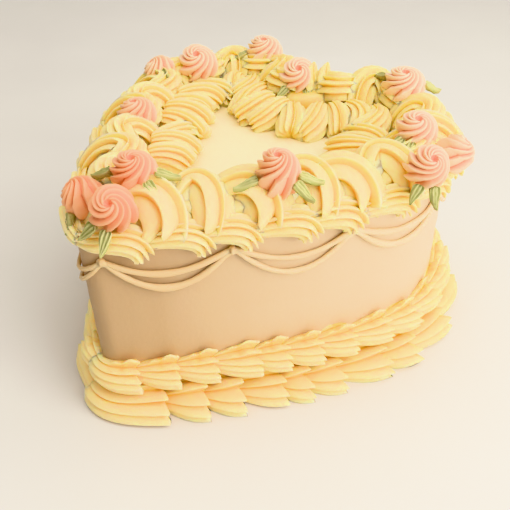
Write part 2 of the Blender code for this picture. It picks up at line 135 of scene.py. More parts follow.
# The floor: a plain pale sheet under the cake.
floor_finish = Finish("pale_floor")
speckle = floor_finish.grain(9, 4)
floor_finish.fill(floor_finish.shader, {
    "Base Color": floor_finish.blend(speckle, (0.62, 0.60, 0.57), (0.68, 0.66, 0.63)),
    "Roughness": 0.55 + 0.2 * speckle})
bm = bmesh.new()
bmesh.ops.create_grid(bm, x_segments=1, y_segments=1, size=4)
sheet = bpy.data.meshes.new("floor")
bm.to_mesh(sheet)
bm.free()
sheet.materials.append(floor_finish.material)
floor = bpy.data.objects.new("floor", sheet)
bpy.context.collection.objects.link(floor)

# The light: a large soft lamp high beyond the heart's right lobe, a small one low on its right and a
# third high before its tip, in a pale room that is brightest up beyond the right lobe.
LAMPS = [
    ("light_above", (0.38, 0.16, 0.90), 5.0, 1.0, (1.0, 0.98, 0.92)),
    ("light_right", (0.50, -0.04, 0.30), 2.4, 0.4, (1.0, 1.0, 0.98)),
    ("light_front", (0.05, -0.22, 1.20), 2.2, 0.9, (1.0, 0.96, 0.88)),
]
LAMPS_POINT_AT = Vector((0, 0, 0.08))
BRIGHT_SIDE = (0.60, 0.45, 0.66)
for name, place, power, size, colour in LAMPS:
    lamp = bpy.data.lights.new(name, "AREA")
    lamp.energy = power
    lamp.size = size
    lamp.color = colour
    stand = bpy.data.objects.new(name, lamp)
    stand.location = place
    stand.rotation_euler = (LAMPS_POINT_AT - Vector(place)).to_track_quat("-Z", "Y").to_euler()
    bpy.context.collection.objects.link(stand)
room = bpy.data.worlds.new("pale_room")
walls = Finish("pale_room", room)
direction = walls.add("ShaderNodeTexCoord", output="Generated")
towards = walls.add("ShaderNodeVectorMath", {"operation": "DOT_PRODUCT"},
                    {0: direction, 1: BRIGHT_SIDE}, output="Value")
towards = walls.add("ShaderNodeMapRange", inputs={"Value": towards, "From Min": -0.5, "From Max": 0.9})
walls.fill(walls.shader, {
    "Color": walls.blend(towards, (0.30, 0.24, 0.17), (1.0, 0.97, 0.91)),
    "Strength": 1.15})
bpy.context.scene.world = room
bpy.context.scene.view_settings.view_transform = "Khronos PBR Neutral"


# The cake itself: layers of sponge under one coat of pale buttercream, drawn smooth with a scraper. Its
# plan is a heart with a soft tip, its upper edge is slightly rounded and its top is level.
HEART_WIDTH = 0.212
LEFT_SHARE = 0.93
HEART_LENGTH = 0.221
WIDEST_AT = 0.151
CLEFT_AT = 0.198
FLANK_ANGLE = math.radians(46.2)
FLANK_HANDLE = 0.066
WIDEST_HANDLE = 0.0395
LOBE_TOP_AT = 0.255
LOBE_HANDLE = 0.62
ROUND_HANDLE = 0.5523
CLEFT_ANGLE = math.radians(32)
CLEFT_HANDLE = 0.013
CLEFT_FAN = 24
TIP_RADIUS = 0.012
CAKE_HEIGHT = 0.109
TIP_PLACE = np.array([-0.0036, -0.1158, 0.0])
LINE_STEP = 0.001


def curve(p0, p1, p2, p3, count):
    """Points of a cubic curve, its last point left out."""
    t = np.linspace(0, 1, count, endpoint=False)[:, None]
    return (1 - t) ** 3 * p0 + 3 * (1 - t) ** 2 * t * p1 + 3 * (1 - t) * t * t * p2 + t ** 3 * p3


def even(points, step, closed):
    """The same line with its points one step apart."""
    line = np.vstack([points, points[:1]]) if closed else points
    length = np.r_[0, np.cumsum(np.hypot(*np.diff(line, axis=0).T))]
    at = np.linspace(0, length[-1], max(8, round(length[-1] / step)), endpoint=not closed)
    return np.column_stack([np.interp(at, length, line[:, 0]), np.interp(at, length, line[:, 1])])


def right_half():
    """Right half of the heart, from the tip to the cleft."""
    flank = np.array([math.sin(FLANK_ANGLE), math.cos(FLANK_ANGLE)])
    centre = np.array([0, TIP_RADIUS / math.sin(FLANK_ANGLE)])
    angles = np.linspace(-math.pi / 2, -FLANK_ANGLE, 10, endpoint=False)
    tip = centre + TIP_RADIUS * np.column_stack([np.cos(angles), np.sin(angles)])
    widest = np.array([HEART_WIDTH / 2, WIDEST_AT])
    lobe_x = HEART_WIDTH * LOBE_TOP_AT
    lobe = np.array([lobe_x, HEART_LENGTH])
    cleft = np.array([0, CLEFT_AT])
    up = np.array([0, 1.0])
    out = np.array([1.0, 0])
    into_cleft = np.array([math.sin(CLEFT_ANGLE), math.cos(CLEFT_ANGLE)])
    side = curve(flank * TIP_RADIUS / math.tan(FLANK_ANGLE), flank * FLANK_HANDLE,
                 widest - up * WIDEST_HANDLE, widest, 120)
    shoulder = curve(widest, widest + up * (HEART_LENGTH - WIDEST_AT) * ROUND_HANDLE,
                     lobe + out * (HEART_WIDTH / 2 - lobe_x) * ROUND_HANDLE, lobe, 90)
    inward = curve(lobe, lobe - out * lobe_x * LOBE_HANDLE, cleft + into_cleft * CLEFT_HANDLE, cleft, 60)
    return np.vstack([tip, side, shoulder, inward, cleft])


def outline():
    """The heart's points and outward normals, anticlockwise from the tip, fanned at the cleft."""
    right = even(right_half(), LINE_STEP, closed=False)
    points = np.vstack([right, right[::-1][1:-1] * [-LEFT_SHARE, 1]])
    tangents = np.roll(points, -1, 0) - np.roll(points, 1, 0)
    tangents /= np.linalg.norm(tangents, axis=1)[:, None]
    normals = np.column_stack([tangents[:, 1], -tangents[:, 0]])
    corner = len(right) - 1
    fan = np.linspace(math.pi - CLEFT_ANGLE, CLEFT_ANGLE, CLEFT_FAN)
    fan = np.column_stack([np.cos(fan), np.sin(fan)])
    corners = np.repeat(points[corner:corner + 1], CLEFT_FAN, 0)
    points = np.vstack([points[:corner], corners, points[corner + 1:]])
    normals = np.vstack([normals[:corner], fan, normals[corner + 1:]])
    return points, normals


class Border:
    """A line at a distance outside the heart, or inside where it is negative.

    Places on it are given by the distance from the tip, along the right side or, below zero, the left.
    """

    def __init__(self, distance, rounds=60):
        points, normals = outline()
        moved = points + normals * distance
        nearest = np.min(np.linalg.norm(moved[:, None] - points[None], axis=2), axis=1)
        path = even(moved[nearest > abs(distance) - 0.0003], LINE_STEP, closed=True)
        near_cleft = (np.abs(path[:, 0]) < 0.03) & (path[:, 1] > 0.14)
        eased = near_cleft[:, None] if distance > 0 else True
        for _ in range(rounds):
            path = np.where(eased, (np.roll(path, 1, 0) + 2 * path + np.roll(path, -1, 0)) / 4, path)
        path = even(path, LINE_STEP, closed=True)
        path = np.roll(path, -int(np.argmin(path[:, 1])), 0)
        self.line = np.vstack([path, path[:1]])
        self.at = np.r_[0, np.cumsum(np.hypot(*np.diff(self.line, axis=0).T))]
        self.length = self.at[-1]

    def point(self, s):
        s = np.asarray(s) % self.length
        return np.stack([np.interp(s, self.at, self.line[:, 0]), np.interp(s, self.at, self.line[:, 1])], -1)

    def place(self, s, out, z):
        """Points at a distance along, a distance outward and a height."""
        ahead = self.point(np.asarray(s) + 0.0015) - self.point(np.asarray(s) - 0.0015)
        ahead /= np.linalg.norm(ahead, axis=-1)[..., None]
        outward = np.stack([ahead[..., 1], -ahead[..., 0]], -1)
        flat = self.point(s) + outward * np.asarray(out)[..., None]
        return np.concatenate([flat, np.broadcast_to(z, flat.shape[:-1])[..., None]], -1)


balls = {}


def piped(bm, around, rows, shape):
    """A closed skin with a pole at each end.

    Its shape takes the row and column of each point, and gives its place and its painted shade, by how
    deep in a fold it lies; on the cake's coat it gives the painted light on the top instead.
    """
    if (around, rows) not in balls:
        ball = bmesh.new()
        bmesh.ops.create_uvsphere(ball, u_segments=around, v_segments=rows, radius=1)
        start = np.array([vertex.co for vertex in ball.verts])
        row = np.round(np.arccos(np.clip(start[:, 2], -1, 1)) / math.pi * rows).astype(int)
        column = np.round((math.pi / 2 - np.arctan2(start[:, 1], start[:, 0])) / (2 * math.pi) * around)
        balls[around, rows] = (bpy.data.meshes.new("ball"), row, column.astype(int) % around)
        ball.to_mesh(balls[around, rows][0])
        ball.free()
    ball, row, column = balls[around, rows]
    before = len(bm.verts)
    bm.from_mesh(ball)
    bm.verts.ensure_lookup_table()
    # each point's painted shade, or on the cake's top its painted light, goes into the fold layer
    fold = bm.verts.layers.float["fold"]
    places, folds = shape(row, column)
    for vertex, place, depth in zip(bm.verts[before:], places, folds):
        vertex.co = place
        vertex[fold] = depth


def new_skin():
    bm = bmesh.new()
    # the fold layer holds painted shade, and painted top light on the cake's coat
    bm.verts.layers.float.new("fold")
    return bm


def serve(bm, name, finish, node):
    """Make the finished piece and let it stand for its solid."""
    bmesh.ops.recalc_face_normals(bm, faces=bm.faces)
    bmesh.ops.translate(bm, verts=bm.verts, vec=TIP_PLACE)
    mesh = bpy.data.meshes.new(name)
    bm.to_mesh(mesh)
    bm.free()
    mesh.shade_smooth()
    mesh.materials.append(finish.material)
    piece = bpy.data.objects.new(name, mesh)
    bpy.context.collection.objects.link(piece)
    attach(piece, "root")
    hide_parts(node)


smooth_icing = Finish("smooth_icing")
strokes = smooth_icing.grain(60, 3, (1, 1, 0.12))
patches = smooth_icing.grain(14, 2)
pits = smooth_icing.grain(420, 3)
cloudy = 0.35 * strokes + 0.65 * patches
# painted shade darkens the side towards the tip, and painted light makes the top paler and yellower
smooth_icing.fill(smooth_icing.shader, {
    "Base Color": smooth_icing.blend(
        smooth_icing.fold(),
        smooth_icing.blend(
            smooth_icing.backward() ** 0.7,
            smooth_icing.blend(cloudy, (0.44, 0.286, 0.148), (0.53, 0.364, 0.207)),
            smooth_icing.blend(cloudy, (0.75, 0.583, 0.387), (0.89, 0.727, 0.513))),
        smooth_icing.blend(patches, (0.97, 0.87, 0.54), (0.98, 0.91, 0.60))),
    "Roughness": 0.42 + 0.2 * pits,
    "Subsurface Weight": 0.12, "Subsurface Radius": (1.0, 0.6, 0.3), "Subsurface Scale": 0.004,
    "Normal": smooth_icing.relief(0.5 * strokes + 0.25 * pits, strength=0.6, distance=0.0009)})

# distance in from the side's face, and height, from the middle of the underside to the middle of the top
SIDE_STEPS = 18
SIDE = [(1.0, 0.0), (0.03, 0.0), (0.001, 0.0005)]
SIDE += [(0.0002 * (1 + math.sin(2.1 * k)), CAKE_HEIGHT * k / SIDE_STEPS) for k in range(1, SIDE_STEPS)]
SIDE += [(0.0002, 0.1072), (0.0006, 0.1082), (0.0013, 0.1087), (0.0022, CAKE_HEIGHT)]
SIDE += [(0.03, CAKE_HEIGHT), (0.06, CAKE_HEIGHT), (1.0, CAKE_HEIGHT)]
PAINTED_TOP_LIGHT_FROM = 0.0006
PAINTED_TOP_LIGHT_OVER = 0.0016
heart = even(outline()[0], 0.0016, closed=True)
heart_middle = np.array([0.0, 0.112])
reach = np.linalg.norm(heart - heart_middle, axis=1)


def cake_skin(row, column):
    """The heart's outline drawn up the side. In place of folds it gives the painted light on the paler top.
    """
    inset, height = np.array(SIDE)[row].T
    share = np.clip(1 - inset / reach[column], 0, 1)
    plan = heart_middle + (heart[column] - heart_middle) * share[:, None]
    # painted light: none at the rounded upper edge, full on the level top
    pale = np.clip((inset - PAINTED_TOP_LIGHT_FROM) / PAINTED_TOP_LIGHT_OVER, 0, 1) * (height > CAKE_HEIGHT / 2)
    return np.column_stack([plan, height]), pale


bm = new_skin()
piped(bm, len(heart), len(SIDE) - 1, cake_skin)
serve(bm, "cake_in_buttercream", smooth_icing, "cake")

# The string work: two drooping strings of icing a swag, dropped on the side from a small round nozzle,
# with a small bead pressed on wherever two swags meet.
SWAGS = 11
STRING_TOP = 0.0983
STRING_AT = 0.0016
STRING_SIDES = 10
SWAG_START = 0.011
BEAD_RADIUS = 0.0024
BEAD_SIDES = 15
BEAD_ROWS = 8
string_line = Border(STRING_AT, 20)
strings = new_skin()


def blunt(count, first, last):
    """Stations along a rope with rounded ends: the share of its length and of its width at each."""
    start = [(0, 0), (0.0, 0.5), (0.25, 0.86), (1, 1)]
    shares = [first * s for s, _ in start] + list(np.linspace(first, 1 - last, count)[1:-1])
    shares += [1 - last * s for s, _ in start[::-1]]
    widths = [w for _, w in start] + [1] * (count - 2) + [w for _, w in start[::-1]]
    return np.array(shares), np.array(widths)


shares, widths = blunt(SWAGS * 14, 0.001, 0.001)
for sag, radius in [(0.0095, 0.0018), (0.0185, 0.0020)]:

    def string_skin(row, column):
        share = shares[row]
        swag = share * SWAGS % 1
        s = SWAG_START + share * string_line.length
        angle = 2 * math.pi * column / STRING_SIDES
        size = radius * widths[row] * (0.92 + 0.13 * np.sin(37 * share) + 0.1 * np.sin(191 * share))
        droop = sag * (1 - (2 * swag - 1) ** 2) + 0.0008 * np.sin(53 * share)
        z = STRING_TOP - droop + size * np.sin(angle)
        return string_line.place(s, size * np.cos(angle) * 0.75, z), np.zeros(len(row))

    piped(strings, STRING_SIDES, len(shares) - 1, string_skin)
for k in range(SWAGS):
    join = SWAG_START + string_line.length * k / SWAGS

    def bead_skin(row, column):
        level = math.pi * row / BEAD_ROWS
        angle = 2 * math.pi * column / BEAD_SIDES
        dent = 1 - 0.30 * (column % 3 == 0)
        wide = BEAD_RADIUS * np.sin(level) * dent * (1 + 0.2 * np.sin(5 * k + 2 * angle))
        z = STRING_TOP + BEAD_RADIUS * np.cos(level)
        place = string_line.place(join + wide * np.cos(angle), 0.0004 + wide * np.sin(angle), z)
        return place, np.zeros(len(row))

    piped(strings, BEAD_SIDES, BEAD_ROWS, bead_skin)
string_icing = Finish("string_icing")
streaks = string_icing.grain(70, 3)
# painted shade makes the strings darker towards the tip
string_icing.fill(string_icing.shader, {
    "Base Color": string_icing.blend(
        string_icing.backward() ** 0.7,
        string_icing.blend(streaks, (0.66, 0.48, 0.26), (0.72, 0.53, 0.30)),
        string_icing.blend(streaks, (0.88, 0.70, 0.44), (0.92, 0.76, 0.50))),
    "Roughness": 0.42 + 0.18 * streaks,
    "Subsurface Weight": 0.3, "Subsurface Radius": (1.0, 0.6, 0.3), "Subsurface Scale": 0.003,
    "Normal": string_icing.relief(streaks, strength=0.3, distance=0.0006)})
serve(strings, "string_work_swags", string_icing, "string_work")

# The borders at the foot: two rows of shells from a large open star nozzle, the upper on the lower. Each
# shell is drawn from a full ruffled head down to a tail, and all the tails point to the heart's tip.
piped_cream = Finish("piped_cream")
mottle = piped_cream.grain(45, 3)
air = piped_cream.grain(900, 2)
lit = piped_cream.blend(
    piped_cream.backward(),
    piped_cream.blend(mottle, (0.96, 0.72, 0.36), (0.97, 0.76, 0.40)),
    piped_cream.blend(mottle, (0.96, 0.74, 0.31), (0.97, 0.78, 0.36)))
deep = piped_cream.blend(piped_cream.backward(), (0.96, 0.55, 0.09), (0.97, 0.58, 0.06))
# the fold layer paints shade into the cream, deep gold in the folds; lit and shaded colours are a little
# yellower towards the lobes
piped_cream.fill(piped_cream.shader, {
    "Base Color": piped_cream.blend(piped_cream.fold(), lit, deep),
    "Roughness": 0.40 + 0.18 * mottle,
    "Subsurface Weight": 0.7, "Subsurface Radius": (1.0, 0.6, 0.25), "Subsurface Scale": 0.006,
    "Normal": piped_cream.relief(0.7 * mottle + 0.3 * air, strength=0.3, distance=0.0006)})

# places across one ridge, from its lip to the next, and the deepest place of the fold between them
FACE = np.array([0, 0.05, 0.18, 0.34, 0.50, 0.66, 0.79, 0.88, 0.96])
FOLD_AT = 0.88


def near(value, middle, width):
    """1 at the middle, and less on both sides of it over about the width."""
    return np.exp(-((value - middle) / width) ** 2)


def fluted(column, ridges, depth, start=0.0, turned=False):
    """The section of icing from a star nozzle.

    It gives the angle, the share of the radius, the nearness to a lip and the shade painted into the
    fold. Each ridge is a broad face that slopes from a sharp lip into the fold under the next lip. On the
    far side of a turned rope the faces slope the other way, so that its lips hang down on both sides.
    """
    ridge = column // len(FACE)
    sample = column % len(FACE)
    far = turned & (np.cos(2 * math.pi * (ridge + 0.5) / ridges + start) < 0)
    there = np.where(far & (sample > 0), 1 - FACE[-sample], FACE[sample])
    phase = np.where(far & (sample > 0), FACE[-sample], FACE[sample])
    hollow = np.where(phase < FOLD_AT, (phase / FOLD_AT) ** 1.4, (1 - phase) / (1 - FOLD_AT))
    # painted shade: a little over the whole face, and most in the fold under the next lip
    shade = 0.28 * hollow ** 1.5 + 0.72 * near(phase, FOLD_AT, 0.09)
    return 2 * math.pi * (ridge + there) / ridges + start, 1 - depth * hollow, 1 - hollow, shade


side_line = Border(0.0)


def shell(bm, half, tail, head, narrow, section, ridges, size, curl, unevenness):
    """One shell of a row, from its tail to its head, on the right half or, for half -1, the left.

    Its tail has the share narrow of its full width. Its ridges end in teeth round a hollow mouth, and
    those next to the side are turned up against it, as high as curl.
    """
    body = np.linspace(0, 1, 19)
    shares = np.r_[-0.02, 0, 0.01, body[1:], 1.0, 0.96, 0.92, 0.90]
    full = narrow + (1 - narrow) * np.sin(math.pi / 2 * np.clip(body / 0.92, 0, 1)) ** 1.5
    widths = np.r_[0, 0.28 + narrow * 0.3, narrow * 0.95, full[1:], 0.86, 0.62, 0.38, 0]
    size = size * unevenness.uniform(0.95, 1.02)
    ruffle = unevenness.uniform(0.0024, 0.0044)
    roll = unevenness.uniform(-0.16, 0.10)
    waver = unevenness.uniform(0.02, 0.07)

    def shell_skin(row, column):
        share = shares[row]
        in_mouth = row > len(body) + 2
        open_end = np.clip((share - 0.35) / 0.65, 0, 1)
        angle, flute, lip, shade = fluted(column, ridges, 0.14 + 0.18 * open_end)
        angle = angle + roll + waver * np.sin(3 * share + 3 * angle + 5 * roll)
        tooth = lip ** 1.6 * ruffle * open_end ** 4 * ~in_mouth
        wide = widths[row] * size * (1 + 0.07 * (lip - 0.3) * open_end ** 3)
        out, z = section(wide, flute, angle, tail)
        by_side = near(angle, 1.30, 0.42)
        turned_up = near(share, 0.86, 0.11) + 0.7 * near(share, 0.58, 0.07)
        z = z + curl * lip ** 2 * by_side * turned_up * np.clip(widths[row] * 2 - 1, 0, 1)
        # painted shade: more in the lower row's folds and towards the head, in the hollow mouth and at the
        # foot of the turned-up ridges
        shade = shade * ((0.75 if curl else 1.0) + 0.35 * share)
        shade = shade + in_mouth * 0.95 + (curl > 0) * 0.5 * by_side * near(share, 0.71, 0.05)
        place = side_line.place(half * (tail + (head - tail) * share + tooth), out, z)
        return place, np.clip(shade, 0, 1)

    piped(bm, ridges * len(FACE), len(shares) - 1, shell_skin)


def spread(given, end, pitch):
    """Heads at the given places, then evenly on to the row's end."""
    rest = max(1, round((end - given[-1]) / pitch))
    return given + [given[-1] + (end - given[-1]) * (k + 1) / rest for k in range(rest)]


# where the first shell of each half begins and the width of its tail: the right one covers the tip
FIRST_TAILS = {1: (-0.006, 0.72), -1: (0.002, 0.58)}
TAIL_WIDTH = 0.38
HEAD_SHIFT = 0.0012


def shell_border(name, node, heads, pitch, overlap, section, ridges, lead, curl):
    """A whole row of shells, the same on both halves but for their sizes and unevenness.

    The first shells at the tip are larger on the right, and smaller on the left, by the share lead.
    """
    bm = new_skin()
    for half in (1, -1):
        unevenness = random.Random(f"{name} {half}")
        tail, narrow = FIRST_TAILS[half]
        for head in spread(heads, side_line.length / 2, pitch):
            head += unevenness.uniform(-HEAD_SHIFT, HEAD_SHIFT) if half < 0 else 0
            size = 1 + half * lead * near(head, 0, 0.06)
            shell(bm, half, tail, head, narrow, section, ridges, size, curl, unevenness)
            tail = head - overlap
            narrow = TAIL_WIDTH
    serve(bm, name, piped_cream, node)


# how far in the rows reach behind the side's face, so that no gap shows there
INTO_SIDE = -0.002
UPPER_MIDDLE = 0.0226
UPPER_CLIMB = 0.0034
CLIMB_OVER = 0.19


def lower_section(wide, flute, angle, from_tip):
    """The lower row lies flat on its underside."""
    out = wide * (0.0045 + 0.0175 * flute * np.cos(angle))
    z = wide * (0.0040 + 0.0130 * flute * np.sin(angle))
    return np.maximum(out, INTO_SIDE), np.maximum(z, 0.0002)


def upper_section(wide, flute, angle, from_tip):
    """The upper row climbs a little towards the lobes."""
    out = wide * (0.0010 + 0.0128 * flute * np.cos(angle))
    middle = UPPER_MIDDLE + UPPER_CLIMB * min(from_tip / CLIMB_OVER, 1)
    return np.maximum(out, INTO_SIDE), middle + wide * 0.0110 * flute * np.sin(angle)


LOWER_HEADS = [0.029, 0.050, 0.069, 0.092, 0.105, 0.124, 0.151, 0.169, 0.197, 0.231]
UPPER_HEADS = [0.016, 0.037, 0.057, 0.079, 0.095, 0.114, 0.133, 0.155, 0.174, 0.194]
shell_border("lower_shells", "base_border_lower", LOWER_HEADS, pitch=0.021, overlap=0.007,
             section=lower_section, ridges=12, lead=0.09, curl=0.0)
shell_border("upper_shells", "base_border_upper", UPPER_HEADS, pitch=0.020, overlap=0.006,
             section=upper_section, ridges=14, lead=0.0, curl=0.0034)


# The border that hangs over the edge: short ropes of icing that run along it and then hook down over the
# side, each laid over the tail of the next.
MM = 0.001
EDGE_HEADS = [0.023, 0.052, 0.074, 0.103, 0.126, 0.156]
EDGE_AT = CAKE_HEIGHT - MM
# along, outward, up and radius, in millimetres from the head's place on the edge
EDGE_ROPE = [(-30, -1, -1.5, 5.0), (-17, 0, 0.5, 6.0), (-8, 1.2, 2.4, 7.0), (-1, 2.0, 2.4, 7.4),
             (3.5, 2.4, 0.2, 7.4), (5.4, 2.6, -3.0, 6.6)]
# where the first rope of each half begins, in millimetres from the tip
FIRST_EDGE_TAILS = {1: -6, -1: 1}
ROUTE_POINTS = 200
FLARE_FROM = 0.45
TEETH_FROM = 0.6


def eased(points, count):
    """A smooth line near its points, in even steps. Numbers after the third are carried along."""
    line = np.array(points, float)
    for _ in range(4):
        first = 0.75 * line[:-1] + 0.25 * line[1:]
        second = 0.25 * line[:-1] + 0.75 * line[1:]
        cut = np.stack([first, second], 1).reshape(-1, line.shape[1])
        line = np.vstack([line[:1], cut, line[-1:]])
    length = np.r_[0, np.cumsum(np.linalg.norm(np.diff(line[:, :3], axis=0), axis=1))]
    at = np.linspace(0, length[-1], count)
    return np.column_stack([np.interp(at, length, values) for values in line.T])


def rope(bm, points, ridges, depth, hand=1, twist=0.0, tooth=0.0, flare=0.0, body=26, start=0.0):
    """A fluted rope of icing along a route in space; the fourth number of each point is its radius.

    Its ridges flare towards its head and end in teeth. Twist winds them round it, in radians, and hand
    -1 mirrors its section, for a rope on the left half.
    """
    shares, widths = blunt(body, 0.04, 0.05)
    route = eased(points, ROUTE_POINTS)
    at = np.clip(shares, 0, 1) * (ROUTE_POINTS - 1)
    centre = np.column_stack([np.interp(at, np.arange(ROUTE_POINTS), values) for values in route.T])
    ahead = np.gradient(route[:, :3], axis=0)
    ahead = np.column_stack([np.interp(at, np.arange(ROUTE_POINTS), values) for values in ahead.T])
    ahead /= np.linalg.norm(ahead, axis=1)[:, None]
    side = np.cross(ahead[0], (0, 0, 1.0)) * hand
    if np.linalg.norm(side) < 0.2:
        side = np.cross(ahead[0], (1.0, 0, 0))
    sides = []
    for direction in ahead:
        side = side - direction * side.dot(direction)
        side = side / np.linalg.norm(side)
        sides.append(side)
    sides = np.array(sides)
    ups = np.cross(sides, ahead) * hand

    def rope_skin(row, column):
        share = shares[row]
        angle, flute, lip, shade = fluted(column, ridges, depth, start, True)
        angle = angle + twist * share
        flared = flare * lip ** 2 * np.clip((share - FLARE_FROM) / 0.3, 0, 1)
        radius = centre[row, 3] * widths[row] * (flute + flared)
        torn = np.clip((share - TEETH_FROM) / (1 - TEETH_FROM), 0, 1) ** 2
        longer = lip ** 1.5 * tooth * torn * widths[row]
        place = centre[row, :3] + ahead[row] * longer[:, None]
        place = place + sides[row] * (radius * np.cos(angle))[:, None]
        place = place + ups[row] * (radius * np.sin(angle))[:, None]
        # painted shade in the folds, and more on the rope's blunt ends
        return place, np.clip(shade * 0.85 + (widths[row] < 0.6) * 0.5, 0, 1)

    piped(bm, ridges * len(FACE), len(shares) - 1, rope_skin)


bm = new_skin()
for half in (1, -1):
    unevenness = random.Random(f"edge {half}")
    for head in spread(EDGE_HEADS, side_line.length / 2 - 0.004, 0.024):
        big = unevenness.uniform(0.92, 1.05)
        route = []
        for along, out, up, radius in EDGE_ROPE:
            along = max(along, FIRST_EDGE_TAILS[half] - head / MM)
            place = side_line.place(half * (head + along * MM), out * MM, EDGE_AT + up * MM)
            route.append((*place, radius * MM * big))
        rope(bm, route, ridges=11, depth=0.34, hand=half, tooth=0.006, flare=0.10, start=0.2)
serve(bm, "edge_scrolls", piped_cream, "top_border_edge")

# The crest: large reverse shells on the rim of the top, by turns in a small bow out over the edge and in
# a wide loop that swings inward first. On the left half and at the back the bows give way to loops that
# curl back to the centre. Each shell lies on the tail of the one beyond it.
crest_line = Border(-0.0155)
# along, outward, up and radius, in millimetres from the head's place on the rim
OUTWARD = [(-27, 0, 3, 5), (-17, -1, 7, 8), (-8, -2, 10, 10.5), (0, 0, 11, 12), (5, 4.5, 8.5, 12),
           (7, 9.5, 4.5, 11.5), (6.5, 13.5, 1, 11)]
INWARD = [(-18, 10, 3, 5), (-12, 5, 7, 7.5), (-6, -3, 11, 9.5), (0, -6, 12.5, 10), (5, 0, 12, 10.5),
          (6.5, 8, 8.5, 10.5), (5.5, 14, 4, 9), (4, 17, 0.5, 7.5)]
BACK_TO_CENTRE = [(along, -0.72 * out, up, radius) for along, out, up, radius in INWARD]
CREST_HEADS = [0.020, 0.042, 0.067, 0.095, 0.113, 0.138, 0.159, 0.181, 0.203, 0.225, 0.245, 0.266]
FLANK_END = 0.15
BACK_FROM = 0.24
LOBE_RISE_AT = np.array([0.038, 0.206])
LOBE_RISE_REACH = 0.030
LOBE_RISE = 0.55
bm = new_skin()
for half in (1, -1):
    unevenness = random.Random(f"crest {half}")
    for number, head in enumerate(CREST_HEADS):
        if head > crest_line.length / 2 - 0.010:
            continue
        fine = half < 0 or head > FLANK_END
        inset = 0.0 if half > 0 and head < BACK_FROM else -2.5
        big = unevenness.uniform(1.0, 1.12)
        steps = BACK_TO_CENTRE if fine else OUTWARD
        if number % 2:
            steps = INWARD
        route = []
        for along, out, up, radius in steps:
            place = crest_line.place(half * (head + along * MM), (out + inset) * MM, 0.0)
            heap = 1 + LOBE_RISE * near(np.linalg.norm(place[:2] - LOBE_RISE_AT), 0, LOBE_RISE_REACH)
            route.append((place[0], place[1], CAKE_HEIGHT + up * MM * heap, radius * MM * big))
        if steps is OUTWARD:
            rope(bm, route, ridges=7, depth=0.26, hand=half, tooth=0.010, flare=0.08, body=34, start=0.5)
        elif fine:
            rope(bm, route, ridges=12, depth=0.30, hand=half, tooth=0.004, flare=0.05, body=32, start=0.2)
        else:
            rope(bm, route, ridges=7, depth=0.26, hand=half, tooth=0.004, flare=0.05, body=32, start=0.2)

# the bed of icing under them, grooved lengthwise, and the heap under the roses at the tip
BED_SIDES = 32
BED_GROOVES = np.array([1.0, 0.93, 0.86, 0.93])
# painted shade, most in the bottom of each groove
BED_PAINTED_SHADES = np.array([0.1, 0.3, 0.75, 0.3])
BED_HALF_WIDTH = 0.0145
BED_HEIGHT = 0.0164
HEAP_AT = 0.030
HEAP_RADIUS = 0.0195
HEAP_HEIGHT = 0.017
HEAP_ROWS = 12
ON_TOP = CAKE_HEIGHT + 0.0002
shares, widths = blunt(220, 0.01, 0.01)


def bed_skin(row, column):
    angle = 2 * math.pi * column / BED_SIDES + 0.3 * np.sin(50 * shares[row])
    size = widths[row] * BED_GROOVES[column % 4]
    out = BED_HALF_WIDTH * size * np.cos(angle)
    z = ON_TOP + BED_HEIGHT * size * np.clip(np.sin(angle), 0, 1)
    return crest_line.place(shares[row] * crest_line.length, out, z), BED_PAINTED_SHADES[column % 4]


def heap_skin(row, column):
    level = math.pi * row / HEAP_ROWS
    angle = 2 * math.pi * column / BED_SIDES
    wide = HEAP_RADIUS * np.sin(level)
    z = ON_TOP + HEAP_HEIGHT * np.clip(np.cos(level), 0, 1)
    place = np.column_stack([wide * np.cos(angle), HEAP_AT + wide * np.sin(angle), z])
    # a little painted fold shade over the whole heap
    return place, np.full(len(row), 0.15)


piped(bm, BED_SIDES, len(shares) - 1, bed_skin)
piped(bm, BED_SIDES, HEAP_ROWS, heap_skin)

# two small peaks by the cleft, each drawn up to a point that leans back
for foot, top in [((0.0035, 0.186), (0.0028, 0.1915)), ((0.010, 0.189), (0.0098, 0.196))]:
    middle = ((foot[0] + top[0]) / 2, (foot[1] + top[1]) / 2)
    route = [(*foot, 0.118, 0.006), (*foot, 0.126, 0.0065), (*middle, 0.133, 0.004), (*top, 0.1375, 0.0008)]
    rope(bm, route, ridges=5, depth=0.3, twist=1.2)
serve(bm, "crest_of_reverse_shells", piped_cream, "top_border_crest")

# The shells round the flat centre: drawn inward from under the crest, with many fine ridges that end in a
# row of little lips on the flat icing.
INNER_SHELLS = 20
INNER_START = 0.098
INNER_END = 0.022
# along, outward, up and radius, in millimetres from the shell's place on the inner line
INNER_ROPE = [(9, 11, 8, 6), (6, 6, 8.5, 7.5), (2, 0, 7, 9), (-1, -6, 4.2, 9), (-2, -11, 1.6, 7)]
inner_line = Border(-0.043)
bm = new_skin()
unevenness = random.Random("inner")
for k in range(INNER_SHELLS):
    s = INNER_START + (inner_line.length - INNER_END - INNER_START) * k / (INNER_SHELLS - 1)
    big = unevenness.uniform(0.92, 1.12)
    slant = unevenness.uniform(-1.0, 0.6)
    pull = unevenness.uniform(0.75, 1.2)
    rise = unevenness.uniform(0.75, 1.1)
    route = []
    for along, out, up, radius in INNER_ROPE:
        out = out * pull if out < 0 else out
        place = inner_line.place(s + (along + slant * out) * MM, out * MM, CAKE_HEIGHT + up * MM * rise)
        route.append((*place, radius * MM * big))
    rope(bm, route, ridges=13, depth=0.22, tooth=0.004, flare=0.10, start=unevenness.uniform(0, 0.5))
serve(bm, "centre_shells", piped_cream, "top_border_inner")

# The roses: pink buttercream swirled from a star nozzle, seven or eight ridges that wind up to a small
# hollow. Shade is painted into the colour, deepest in the hollow and between the ridges.
CAMERA_SIDE = -50.0
IMAGE_LEFT = -141.0
